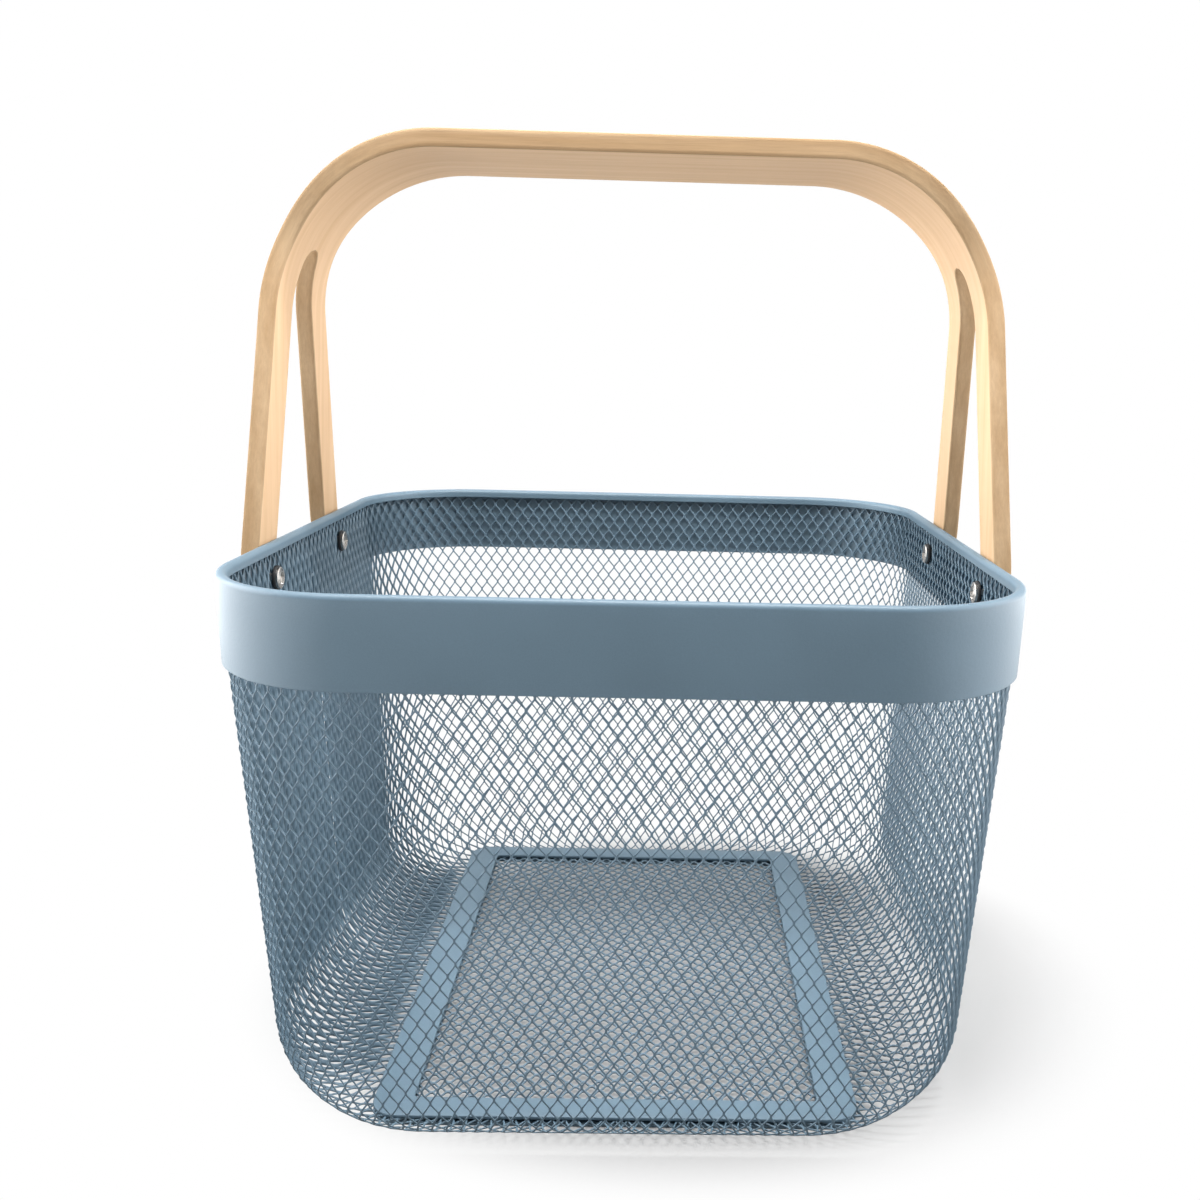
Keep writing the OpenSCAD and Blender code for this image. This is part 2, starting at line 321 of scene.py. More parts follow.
def birch(name, light, dark, edge):
    """Lacquered birch. The piece's own 'grain' attribute runs along, across and through it."""
    material, nodes, links, shader = new_material(name)
    place = nodes.new("ShaderNodeAttribute")
    place.attribute_name = "grain"
    stretch = nodes.new("ShaderNodeMapping")
    stretch.inputs["Scale"].default_value = (0.035, 1.0, 1.0)
    links.new(place.outputs["Vector"], stretch.inputs["Vector"])
    along = stretch.outputs["Vector"]
    broad = noise(nodes, links, along, 0.16, 3.0, 0.55)
    lines = noise(nodes, links, along, 1.6, 4.0, 0.6)
    fibres = noise(nodes, links, along, 5.5, 3.0, 0.6)
    tone = ramp(nodes, links, broad.outputs["Fac"], [(0.32, dark), (0.68, light)])
    streak = spread(nodes, links, lines.outputs["Fac"], 0.35, 0.7, 1.03, 0.9 if edge else 0.965)
    fibre = spread(nodes, links, fibres.outputs["Fac"], 0.3, 0.7, 1.03, 0.96)
    first = blend_colours(
        nodes, links, 1.0, tone.outputs["Color"], streak.outputs["Result"], "MULTIPLY"
    )
    second = blend_colours(nodes, links, 1.0, first, fibre.outputs["Result"], "MULTIPLY")
    links.new(second, shader.inputs["Base Color"])
    rough = spread(nodes, links, lines.outputs["Fac"], 0.3, 0.7, 0.58, 0.68)
    links.new(rough.outputs["Result"], shader.inputs["Roughness"])
    links.new(
        bump(nodes, links, fibres.outputs["Fac"], 0.00008, 0.5 if edge else 0.25),
        shader.inputs["Normal"],
    )
    shader.inputs["Specular IOR Level"].default_value = 0.1
    return material


def zinc_plate():
    """Bright zinc plate: faintly mottled metal with a slightly warm tint."""
    material, nodes, links, shader = new_material("bright_zinc")
    place = nodes.new("ShaderNodeTexCoord").outputs["Object"]
    marks = noise(nodes, links, place, 900.0, 4.0, 0.6)
    tint = ramp(
        nodes,
        links,
        marks.outputs["Fac"],
        [(0.3, (0.42, 0.4, 0.37)), (0.7, (0.56, 0.54, 0.52))],
    )
    links.new(tint.outputs["Color"], shader.inputs["Base Color"])
    shader.inputs["Metallic"].default_value = 1.0
    rough = spread(nodes, links, marks.outputs["Fac"], 0.3, 0.7, 0.24, 0.36)
    links.new(rough.outputs["Result"], shader.inputs["Roughness"])
    links.new(
        bump(nodes, links, marks.outputs["Fac"], 0.00004, 0.4), shader.inputs["Normal"]
    )
    return material


def black_nylon():
    """Moulded black nylon with a fine matt texture."""
    material, nodes, links, shader = new_material("black_nylon")
    place = nodes.new("ShaderNodeTexCoord").outputs["Object"]
    marks = noise(nodes, links, place, 1500.0, 3.0)
    tint = ramp(
        nodes,
        links,
        marks.outputs["Fac"],
        [(0.3, (0.008, 0.008, 0.009)), (0.7, (0.016, 0.016, 0.018))],
    )
    links.new(tint.outputs["Color"], shader.inputs["Base Color"])
    shader.inputs["Roughness"].default_value = 0.55
    links.new(
        bump(nodes, links, marks.outputs["Fac"], 0.00003, 0.5), shader.inputs["Normal"]
    )
    return material


COAT = (0.12, 0.188, 0.244)
coat_band = powder_coat("powder_coat_band", COAT, 0.4, 0.35)
coat_mesh = powder_coat("powder_coat_mesh", COAT, 0.38, 0.2)
coat_strip = powder_coat("powder_coat_strip", COAT, 0.46, 0.4)
birch_veneer = birch("birch_veneer", (0.7, 0.485, 0.3), (0.62, 0.41, 0.235), False)
birch_core = birch("birch_core", (0.5, 0.35, 0.21), (0.38, 0.245, 0.13), True)
zinc = zinc_plate()
nylon = black_nylon()


# ---------- the expanded-mesh tub ----------

CELLS_ROUND = 176
HALF_ROWS = 49
ROW_STRETCH = 0.09
SEAM_GAP = 0.0004
# A strand's width, its thickness and its tilt out of the sheet: in the floor, where it is pressed
# between the frames; in the front and rear walls; behind the band; and in the side walls, where it
# is left proud, more so on the left.
FLOOR_STRAND = np.array([0.5, 0.85, math.radians(22.0)])
END_STRAND = np.array([0.42, 0.4, math.radians(8.0)])
BAND_STRAND = np.array([0.6, 0.9, math.radians(30.0)])
SIDE_STRAND = np.array([0.95, 0.65, math.radians(75.0)])
STRAND_EDGE = 0.2
RIGHT_PROUD = 0.7
PROUD_UNTIL = math.radians(60.0)
PROUD_FADE = math.radians(40.0)
KNOT_MIDDLE = 1.4
KNOT_EDGE = 0.7
FLOOR_CELL_X = 5.31
FLOOR_CELL_Y = 5.13
FLOOR_SKEW = math.radians(4.8)
FLOOR_MARGIN = 1.4  # from the floor panel's edge to its outermost knots

WALL_INSET = 8.0
TUB_CORNER_R = 50.0
FLOOR_CORNER_R = 42.0
SIDE_BEND = 26.0
END_BEND = 12.0
CORNER_BEND = 2.0
WALL_ROWS = 12
BEND_ROWS = 30
EDGE_CORNER_R = 12.0  # corner radius of the tub's edge, clamped between the frames

screw_low, screw_high = node_box("screw_front_left")
SCREW_Y = -(screw_low[1] + screw_high[1]) / 2
SCREW_Z = (screw_low[2] + screw_high[2]) / 2
WASHER_R = 4.3

# How far from the hem, a frame or a washer the strands are pressed flat, and the length over which
# they then rise to their free shape.
PRESSED_BY_HEM = 2.0
PRESSED = 1.0
RISE = 4.0
RISE_BY_FRAME = 3.0
RISE_INTO_BAND = 3.0


def ring_points(half_x, half_y, corner_r, share):
    """Points at even shares of the way round a rounded rectangle, anticlockwise from +X.

    Returns x, y and how far each point's normal has turned from the X axis to the Y axis."""
    side = half_y - corner_r
    arc = corner_r * math.pi / 2
    quarter = side + arc + half_x - corner_r
    way = np.asarray(share) * 4
    number = np.floor(way + 1e-9).astype(int) % 4
    part = way - np.floor(way + 1e-9)
    part = np.where(number % 2 == 1, 1 - part, part) * quarter
    turn = np.clip((part - side) / arc, 0, 1) * math.pi / 2
    x = half_x - corner_r + corner_r * np.cos(turn)
    y = np.minimum(part, side) + corner_r * np.sin(turn)
    x = x - np.maximum(part - side - arc, 0)
    return (
        x * np.where((number == 1) | (number == 2), -1, 1),
        y * np.where(number >= 2, -1, 1),
        turn,
    )


def tub_meridians(share):
    """The tub's surface as lines from the mouth to the floor, at these shares of the way round."""
    share = np.asarray(share, float)
    rows = []

    def add(half_x, half_y, corner_r, height):
        x, y, turn = ring_points(half_x, half_y, corner_r, share)
        rows.append(np.stack([x, y, height(turn)], -1))

    def bend_rise(turn):
        corner = CORNER_BEND * np.sin(2 * turn) ** 2
        return mix(SIDE_BEND, END_BEND, np.sin(turn) ** 2) + corner

    top_x = HALF_W - 1 - HALF_MESH_T
    top_y = HALF_D - 1 - HALF_MESH_T
    low_x = HALF_W - WALL_INSET - HALF_MESH_T
    low_y = HALF_D - WALL_INSET - HALF_MESH_T
    add(top_x, top_y, RIM_CORNER_R - 1, lambda turn: np.full_like(turn, MESH_TOP_Z))
    for t in np.linspace(0, 1, WALL_ROWS):
        half_x = mix(top_x - 1, low_x, t)
        half_y = mix(top_y - 1, low_y, t)
        corner_r = mix(RIM_CORNER_R - 2, TUB_CORNER_R, t)
        add(
            half_x,
            half_y,
            corner_r,
            lambda turn: mix(BAND_Z, MESH_MID_Z + bend_rise(turn), t),
        )
    for angle in np.radians(np.linspace(0, 90, BEND_ROWS + 1)[1:]):
        inward = 1 - math.cos(angle)
        add(
            low_x - SIDE_BEND * inward,
            low_y - END_BEND * inward,
            mix(TUB_CORNER_R, FLOOR_CORNER_R, inward),
            lambda turn: MESH_MID_Z + bend_rise(turn) * (1 - math.sin(angle)),
        )
    flat_x = low_x - SIDE_BEND
    flat_y = low_y - END_BEND
    edge_x = FRAME_HALF_W - SIDE_STRIP_W / 2
    edge_y = FRAME_HALF_D - END_STRIP_W / 2
    for t in (0.5, 1.0):
        add(
            mix(flat_x, edge_x, t),
            mix(flat_y, edge_y, t),
            mix(FLOOR_CORNER_R, EDGE_CORNER_R, t),
            lambda turn: np.full_like(turn, MESH_MID_Z),
        )
    return np.stack(rows, 1)


def even_rows(meridians, row_count):
    """Each meridian resampled at row_count + 1 places, a little wider apart towards the floor."""
    step = np.linalg.norm(np.diff(meridians, axis=1), axis=2)
    way = np.concatenate([np.zeros((len(step), 1)), np.cumsum(step, 1)], 1)
    t = np.linspace(0, 1, row_count + 1)
    t = (t + ROW_STRETCH * t * t / 2) / (1 + ROW_STRETCH / 2)
    rows = np.empty((len(meridians), row_count + 1, 3))
    for i, line in enumerate(meridians):
        for axis in range(3):
            rows[i, :, axis] = np.interp(t * way[i, -1], way[i], line[:, axis])
    return rows


LEFT_LOOP = [0, 1, 2, 8, 6, 7]
RIGHT_LOOP = [8, 2, 3, 4, 5, 6]
KNOT_LOOP = [0, 1, 2, 3, 4, 5, 6, 7]


def tubes(first, second):
    """Quads between matching loops of point numbers, one pair of loops per row."""
    turned = (np.roll(first, -1, 1), np.roll(second, -1, 1))
    return np.stack([first, turned[0], turned[1], second], -1).reshape(-1, 4)


def lattice(nodes, keep, strand):
    """Expanded mesh over a grid of node places (column, row, xyz): points and faces.

    keep says which places are on the sheet, and every other one of those is a knot. A knot is a short
    plate, tilted like a louvre, and each of its four corners runs on as a strand to the next knot.
    The left and right strand of a knot share the middle points of its section. strand holds the
    width, thickness and tilt at each place; a sheet deeper than the CAD's is set further in."""
    columns, rows = nodes.shape[:2]
    right = unit(np.gradient(nodes, axis=0))
    down = unit(np.gradient(nodes, axis=1))
    out = unit(np.cross(down, right))
    width, half_t, tilt = strand[..., :1], strand[..., 1:2] / 2, strand[..., 2:]
    across = np.cos(tilt) * right + np.sin(tilt) * out
    face = -np.sin(tilt) * right + np.cos(tilt) * out
    half_depth = width * np.sin(tilt) + half_t * np.cos(tilt)
    middle = nodes - out * np.maximum(half_depth - HALF_MESH_T, 0)
    shoulder = width - STRAND_EDGE
    section = [(-width, 0), (-shoulder, half_t), (0, half_t), (shoulder, half_t), (width, 0)]
    section += [(shoulder, -half_t), (0, -half_t), (-shoulder, -half_t), (0, 0)]
    points = np.empty((columns, rows, 2, 9, 3))
    for ring, side in enumerate((-1, 1)):
        for role, (a, f) in enumerate(section):
            reach = mix(KNOT_MIDDLE, KNOT_EDGE, abs(a) / width) / 2
            points[:, :, ring, role] = middle + down * side * reach + across * a + face * f
    index = np.arange(columns * rows * 18).reshape(columns, rows, 2, 9)
    knot = keep & (np.add.outer(np.arange(columns), np.arange(rows)) % 2 == 0)
    i, j = np.nonzero(knot)
    quads = [tubes(index[i, j, 0][:, KNOT_LOOP], index[i, j, 1][:, KNOT_LOOP])]
    caps = []
    framed = np.pad(knot, 1)
    for step, mine, other in ((1, RIGHT_LOOP, LEFT_LOOP), (-1, LEFT_LOOP, RIGHT_LOOP)):
        below = framed[i + 1 + step, j + 2]
        a, b = i[below], j[below]
        quads.append(tubes(index[a, b, 1][:, mine], index[a + step, b + 1, 0][:, other]))
        a, b = i[~below], j[~below]
        caps.append(index[a, b, 1][:, mine])
        above = framed[i + 1 + step, j]
        a, b = i[~above], j[~above]
        caps.append(index[a, b, 0][:, mine[::-1]])
    faces = np.concatenate(quads).tolist() + np.concatenate(caps).tolist()
    used = np.zeros(columns * rows * 18, bool)
    used[np.concatenate([np.concatenate(quads).ravel(), np.concatenate(caps).ravel()])] = True
    new = np.cumsum(used) - 1
    return points.reshape(-1, 3)[used], [new[face].tolist() for face in faces]


def tub_strand(nodes):
    """The strand's size at each place. The hem, the strip frames and the washers press it flat."""
    x, y, z = np.moveaxis(nodes, -1, 0)
    past_x = np.maximum(np.abs(x) - (HALF_W - WALL_INSET - TUB_CORNER_R), 1e-6)
    past_y = np.maximum(np.abs(y) - (HALF_D - WALL_INSET - TUB_CORNER_R), 0)
    side = np.clip((PROUD_UNTIL - np.arctan2(past_y, past_x)) / PROUD_FADE, 0, 1)
    hem = (MESH_TOP_Z - z - PRESSED_BY_HEM) / RISE
    past_frame = np.maximum(np.abs(x) - FRAME_HALF_W, np.abs(y) - FRAME_HALF_D) - PRESSED
    frames = np.maximum(past_frame / RISE_BY_FRAME, (z - MESH_MID_Z - PRESSED) / RISE)
    washer = (np.hypot(np.abs(y) - SCREW_Y, z - SCREW_Z) - WASHER_R - PRESSED) / RISE
    washer = np.where(np.abs(x) > HALF_W / 2, washer, 1)
    free = np.clip(np.minimum(np.minimum(hem, frames), washer), 0, 1)
    behind_band = np.clip((z - BAND_Z) / RISE_INTO_BAND, 0, 1)
    end = mix(END_STRAND, BAND_STRAND, behind_band[..., None])
    side = side * np.where(x < 0, 1.0, RIGHT_PROUD)
    wall = mix(end, SIDE_STRAND, side[..., None])
    return mix(FLOOR_STRAND, wall, free[..., None])


def tub_half(name, first_share):
    """Half of the tub, from one side's seam round to the other's, with a hair of room at both."""
    share = first_share + np.linspace(SEAM_GAP, 0.5 - SEAM_GAP, CELLS_ROUND + 1)
    nodes = even_rows(tub_meridians(share), HALF_ROWS)
    points, faces = lattice(nodes, np.ones(nodes.shape[:2], bool), tub_strand(nodes))
    return build(name, points, outward(points, faces), coat_mesh, 180)


def floor_panel():
    """The floor's own piece of mesh. Its cells are squarer, and it was laid in a little askew."""
    low, high = node_box("mesh_floor_panel")
    reach = np.hypot(high[0], high[1])
    across = np.arange(-reach, reach, FLOOR_CELL_Y / 2)
    along = np.arange(-reach, reach, FLOOR_CELL_X / 2)
    y, x = np.meshgrid(across, along, indexing="ij")
    c, s = math.cos(FLOOR_SKEW), math.sin(FLOOR_SKEW)
    nodes = np.stack([x * c - y * s, x * s + y * c, np.full(x.shape, (low[2] + high[2]) / 2)], -1)
    inside_x = np.abs(nodes[..., 0]) < high[0] - FLOOR_MARGIN
    keep = inside_x & (np.abs(nodes[..., 1]) < high[1] - FLOOR_MARGIN)
    points, faces = lattice(nodes, keep, np.tile(FLOOR_STRAND, nodes.shape[:2] + (1,)))
    return build("mesh_floor_lattice", points, outward(points, faces), coat_mesh, 180)


finish_piece(tub_half("mesh_rear_half_lattice", 0.0), "coated_mesh", "mesh_rear_half")
finish_piece(tub_half("mesh_front_half_lattice", 0.5), "coated_mesh", "mesh_front_half")
finish_piece(floor_panel(), "coated_mesh", "mesh_floor_panel")


# ---------- the rim band with its rolled hem ----------


def rim_band():
    """The leaning band. Its sheet rolls inwards over the hem and ends in a short straight lip."""
    lean = BAND_LEAN * (HEM_Z - BAND_Z)
    edge = 0.25
    inner_r = HEM_R - BAND_T
    lip_z = HEM_Z - HEM_R
    near_hem = 6.0
    profile = [(lean, BAND_Z + edge), (BAND_LEAN * near_hem, HEM_Z - near_hem), (0.0, HEM_Z)]
    profile += [(HEM_R - x, HEM_Z + z) for x, z in arc_points((0, 0), HEM_R, 0, 180, 14)][1:]
    profile += [(2 * HEM_R, lip_z + edge), (2 * HEM_R - edge, lip_z)]
    profile += [(2 * HEM_R - BAND_T + edge, lip_z), (2 * HEM_R - BAND_T, lip_z + edge)]
    profile += [(HEM_R - x, HEM_Z + z) for x, z in arc_points((0, 0), inner_r, 180, 0, 10)]
    profile += [(lean + BAND_T, BAND_Z + edge), (lean + BAND_T - edge, BAND_Z)]
    profile += [(lean + edge, BAND_Z)]

    def ring_at(inset):
        return rounded_ring(HALF_W - inset, HALF_D - inset, RIM_CORNER_R - inset, 28)

    return swept_ring("rim_band_rolled", profile, ring_at, coat_band, 35)


finish_piece(rim_band(), "coated_band", "rim_band")


# ---------- the strip frames on both sides of the mesh floor ----------


def strip_frame(name, node):
    """A flat frame, wider along its sides than across its ends, with softened edges."""
    low, high = node_box(node)
    edge = 0.3
    profile = [
        (0.0, low[2] + edge),
        (0.0, high[2] - edge),
        (edge * EDGE_MIDDLE, high[2] - edge * EDGE_MIDDLE),
        (edge, high[2]),
        (SIDE_STRIP_W - edge, high[2]),
        (SIDE_STRIP_W - edge * EDGE_MIDDLE, high[2] - edge * EDGE_MIDDLE),
        (SIDE_STRIP_W, high[2] - edge),
        (SIDE_STRIP_W, low[2] + edge),
        (SIDE_STRIP_W - edge * EDGE_MIDDLE, low[2] + edge * EDGE_MIDDLE),
        (SIDE_STRIP_W - edge, low[2]),
        (edge, low[2]),
        (edge * EDGE_MIDDLE, low[2] + edge * EDGE_MIDDLE),
    ]

    def ring_at(inset):
        share = inset / SIDE_STRIP_W
        corner = mix(FRAME_CORNER_R, FRAME_INNER_R, share)
        return rounded_ring(high[0] - inset, high[1] - END_STRIP_W * share, corner, 10)

    return swept_ring(name, profile, ring_at, coat_strip, 50)


finish_piece(strip_frame("floor_frame_strip", "floor_frame"), "coated_strip", "floor_frame")
finish_piece(strip_frame("foot_frame_strip", "foot_frame"), "coated_strip", "foot_frame")


# ---------- the bent birch handle ----------


def handle_path():
    """The right half of the handle's outer face, from its top middle to the leg's foot.

    Returns the way along it, its x and z, and the unit normal into the wood."""
    angle = math.atan(LEG_LEAN)
    arc_z = HANDLE_TOP_Z - HANDLE_R
    arc_x = KINK_X - (arc_z - HEM_Z) * LEG_LEAN - HANDLE_R / math.cos(angle)
    points = [(x, HANDLE_TOP_Z) for x in np.linspace(0, arc_x, 40)[:-1]]
    for turn in np.linspace(math.pi / 2, angle, 90):
        points.append((arc_x + HANDLE_R * math.cos(turn), arc_z + HANDLE_R * math.sin(turn)))
    tip_z = points[-1][1]
    for z in np.linspace(tip_z, FOOT_Z, 90)[1:]:
        above = KINK_X - (z - HEM_Z) * LEG_LEAN
        below = KINK_X - (HEM_Z - z) * BAND_LEAN
        points.append((min(above, below), z))
    points = np.array(points)
    tangent = unit(np.gradient(points, axis=0))
    way = np.concatenate(
        [[0], np.cumsum(np.linalg.norm(np.diff(points, axis=0), axis=1))]
    )
    normal = np.stack([tangent[:, 1], -tangent[:, 0]], 1)
    return way, points, normal


def soft(d):
    """The distance d with its turning point at zero rounded off."""
    return math.sqrt(d * d + WAIST_SOFT * WAIST_SOFT) - WAIST_SOFT


FLARE = (GRIP_HALF_W - WAIST_HALF_W) / soft(HANDLE_TOP_Z - WAIST_Z)


def edge_y(z):
    """Half the handle's width where its outer face has this height."""
    return WAIST_HALF_W + soft(z - WAIST_Z) * (FLARE if z > WAIST_Z else SPLAY)


def slit_y(z, inset):
    """Half the slit's width at this height, under the arch that it starts in."""
    if z < SLIT_ARCH_Z:
        return SLIT_SPLAY * (SLIT_TOP_Z - z) + inset
    return math.sqrt(max((SLIT_ARCH_R + inset) ** 2 - (z - SLIT_ARCH_Z) ** 2, 0))


def dedupe(face):
    """The face without repeated corners."""
    kept = []
    for k in face:
        if k not in kept:
            kept.append(k)
    return kept


FLAT_ROWS = 14
BEND_TO_SLIT_ROWS = 22
ARCH_ROWS = 9
LEG_ROWS = 52
FOOT_ROWS = np.array([7.5, 6, 4.5, 3, 1.8, 0.9, 0.35, 0])  # up from the end of the foot
PAST_ARCH = 2.0  # from the arch's lower end to the next row


def handle_layer(name, near, far, round_near, round_far, material):
    """One layer of the lamination between two depths, with its outside edges rounded."""
    way, path, normal = handle_path()
    height_of = path[:, 1]
    apex = float(np.interp(-(SLIT_ARCH_Z + SLIT_ARCH_R), -height_of, way))
    foot = way[-1]
    flat_end = float(way[np.argmax(path[:, 1] < HANDLE_TOP_Z - 1e-6)])
    stations = list(np.linspace(0, flat_end, FLAT_ROWS)[:-1])
    stations += list(np.linspace(flat_end, apex, BEND_TO_SLIT_ROWS)[:-1])
    first_leg = len(stations)
    arch_turn = np.radians(np.linspace(0, 90, ARCH_ROWS))
    stations += list(apex + SLIT_ARCH_R * (1 - np.cos(arch_turn)))
    stations += list(np.linspace(apex + SLIT_ARCH_R + PAST_ARCH, foot - FOOT_END, LEG_ROWS))
    stations += list(foot - FOOT_ROWS)
    stations = np.array(stations)
    count = len(stations)
    columns = 12
    share = (1 - np.cos(np.linspace(0, math.pi, columns + 1))) / 2

    def outline(inset):
        """(way along, y) of every point of one leg-side sheet, from the middle line outwards."""
        sheet = np.empty((count, columns + 1, 2))
        for k, s in enumerate(stations):
            z = float(np.interp(s, way, height_of))
            outer = edge_y(z) - inset
            inner = slit_y(z, inset) if k > first_leg else 0.0
            sheet[k, :, 0] = s - (inset if k == first_leg else 0) * np.maximum(1 - 4 * share, 0)
            sheet[k, :, 1] = mix(inner, outer, share)
            into_foot = s - (foot - FOOT_END)
            if into_foot > 0:
                corner_r = FOOT_ROUND - inset
                width = outer - inner
                gap = np.minimum(share, 1 - share) * width
                short = corner_r - np.sqrt(
                    np.maximum(corner_r**2 - np.maximum(corner_r - gap, 0) ** 2, 0)
                )
                ending = into_foot / FOOT_END * (FOOT_END - inset - short)
                sheet[k, :, 0] = foot - FOOT_END + ending
        return sheet

    def place(sheet, depth, side):
        s = sheet[..., 0]
        x = np.interp(s, way, path[:, 0]) + np.interp(s, way, normal[:, 0]) * depth
        z = np.interp(s, way, path[:, 1]) + np.interp(s, way, normal[:, 1]) * depth
        return np.stack([x * side, sheet[..., 1], z], -1)

    middle = WOOD_ROUND * EDGE_MIDDLE
    if round_near:
        levels = [(near, WOOD_ROUND), (near + middle, middle), (near + WOOD_ROUND, 0.0), (far, 0.0)]
    elif round_far:
        levels = [(near, 0.0), (far - WOOD_ROUND, 0.0), (far - middle, middle), (far, WOOD_ROUND)]
    else:
        levels = [(near, 0.0), (far, 0.0)]
    per_level = 4 * count * (columns + 1)
    points, grain = [], []
    for depth, inset in levels:
        sheet = outline(inset)
        for side in (1, -1):
            for end in (1, -1):
                at = place(sheet, depth, side)
                at[..., 1] *= end
                points.append(at.reshape(-1, 3))
                along = np.stack(
                    [side * sheet[..., 0], end * sheet[..., 1], np.full(sheet.shape[:2], depth)],
                    -1,
                )
                grain.append(along.reshape(-1, 3))
    points = np.concatenate(points)
    grain = np.concatenate(grain)

    def number_of(level, side, end, k, c):
        """A point's number, with the points shared on the two middle lines."""
        own_side = side if k else 0
        own_end = end if c or k > first_leg else 0
        quarter = 2 * own_side + own_end
        return level * per_level + quarter * count * (columns + 1) + k * (columns + 1) + c

    sheet_faces = []
    for side in (0, 1):
        for end in (0, 1):
            for k in range(count - 1):
                for c in range(columns):
                    quad = [(side, end, k, c), (side, end, k + 1, c)]
                    quad += [(side, end, k + 1, c + 1), (side, end, k, c + 1)]
                    sheet_faces.append(quad if side == end else quad[::-1])
    top = [dedupe([number_of(0, *corner) for corner in quad]) for quad in sheet_faces]
    last = (len(levels) - 1) * per_level
    bottom = [[k + last for k in quad][::-1] for quad in top]
    edges = {}
    for quad in top:
        edges.update(dict.fromkeys(zip(quad, quad[1:] + quad[:1])))
    rim = [(a, b) for a, b in edges if (b, a) not in edges]
    walls = []
    for level in range(len(levels) - 1):
        up, low = level * per_level, (level + 1) * per_level
        walls += [[b + up, a + up, a + low, b + low] for a, b in rim]
    faces = top + bottom + walls
    used = np.zeros(len(points), bool)
    for face in faces:
        used[face] = True
    new = np.cumsum(used) - 1
    faces = [[int(new[k]) for k in face] for face in faces]
    points = points[used]
    piece = build(name, points, outward(points, faces), material, 30)
    piece.data.materials.append(birch_core)
    for polygon in piece.data.polygons[len(top) + len(bottom) :]:
        polygon.material_index = 1
    attribute = piece.data.attributes.new("grain", "FLOAT_VECTOR", "POINT")
    attribute.data.foreach_set("vector", grain[used].astype(np.float32).ravel())
    return piece


outer_veneer = handle_layer(
    "handle_outer_veneer_birch", 0.0, VENEER_T, True, False, birch_veneer
)
finish_piece(outer_veneer, "birch_veneer", "handle_outer_veneer")
core = handle_layer(
    "handle_core_birch", VENEER_T, HANDLE_T - VENEER_T, False, False, birch_core
)
finish_piece(core, "birch_core", "handle_core")
inner_veneer = handle_layer(
    "handle_inner_veneer_birch", HANDLE_T - VENEER_T, HANDLE_T, False, True, birch_veneer
)
finish_piece(inner_veneer, "birch_veneer", "handle_inner_veneer")


# ---------- fasteners ----------


SOCKET_R = 2.3
SHANK_R = 2.0
SLEEVE_R = 2.8
SLEEVE_BORE_R = 2.2


def ring_walls(ring_count, closed):
    """Quads between rings of TURN_SIDES points each, back to the first ring if closed."""
    faces = []
    for ring in range(ring_count if closed else ring_count - 1):
        a = ring * TURN_SIDES
        b = (ring + 1) % ring_count * TURN_SIDES
        for k in range(TURN_SIDES):
            n = (k + 1) % TURN_SIDES
            faces.append([a + k, a + n, b + n, b + k])
    return faces


def turned_ring(x, radius):
    """A ring of points about the X axis. radius is one number or one for each side."""
    across = radius * np.cos(TURN_ANGLES)
    return np.stack([np.full(TURN_SIDES, x), across, radius * np.sin(TURN_ANGLES)], 1)


def lathe_with_socket(name, outline, socket_depth):
    """A turned zinc piece about the X axis, from (x, radius) points, with a hexagon socket.

    outline runs from the socketed end's middle outwards and round to the other end."""
    hexagon = math.cos(math.pi / 6) / np.cos((TURN_ANGLES % (math.pi / 3)) - math.pi / 6)
    start_x = outline[0][0]
    rings = [
        turned_ring(start_x + socket_depth, SOCKET_R * 0.96 * hexagon),
        turned_ring(start_x + socket_depth - 0.1, SOCKET_R * hexagon),
        turned_ring(start_x + 0.18, SOCKET_R * hexagon),
        turned_ring(start_x, SOCKET_R * 1.06 * hexagon),
    ]
    rings += [turned_ring(x, radius) for x, radius in outline[1:]]
    socket_floor = [[start_x + socket_depth + 0.3, 0, 0]]
    far_end = [[outline[-1][0], 0, 0]]
    points = np.concatenate([socket_floor, *rings, far_end])
    faces = [[k + 1 for k in face] for face in ring_walls(len(rings), False)]
    last = len(points) - 1
    for k in range(TURN_SIDES):
        n = (k + 1) % TURN_SIDES
        faces.append([0, 1 + n, 1 + k])
        faces.append([last - TURN_SIDES + k, last - TURN_SIDES + n, last])
    return build(name, points, outward(points, faces), zinc)


def place_at_screw(piece, centre, side):
    """Puts a piece turned about X at a screw's place; on the left side it faces the other way."""
    turn = Matrix.Scale(side, 4, (1, 0, 0))
    piece.data.transform(Matrix.Translation(Vector(centre) * MM) @ turn)
    if side < 0:
        piece.data.flip_normals()
    return piece


def reach_of(node, side):
    """A fastener's place from its CAD node: its centre line's y and z (with x at zero), its inner and
    outer ends as distances from the basket's middle, and its largest radius."""
    low, high = node_box(node)
    centre = (0.0, (low[1] + high[1]) / 2, (low[2] + high[2]) / 2)
    inner = low[0] if side > 0 else -high[0]
    outer = high[0] if side > 0 else -low[0]
    return centre, inner, outer, (high[1] - low[1]) / 2


def screw(name, node, side):
    """A low domed head with a socket, and a plain shank."""
    centre, inner, outer, head_r = reach_of(node, side)
    head_h = 1.4
    dome_rise = 0.5
    shank_end = 0.4
    sphere_r = (head_r**2 + dome_rise**2) / (2 * dome_rise)
    outline = [(inner + 0.12, 0.0)]
    for r in np.linspace(2.6, head_r - 0.2, 6):
        outline.append((inner + sphere_r - math.sqrt(sphere_r**2 - r * r), r))
    outline += [(inner + dome_rise + 0.15, head_r), (inner + head_h - 0.1, head_r)]
    outline += [(inner + head_h, head_r - 0.2), (inner + head_h, SHANK_R)]
    outline += [(outer - shank_end, SHANK_R), (outer, SHANK_R - shank_end)]
    return place_at_screw(lathe_with_socket(name, outline, 0.9), centre, side)


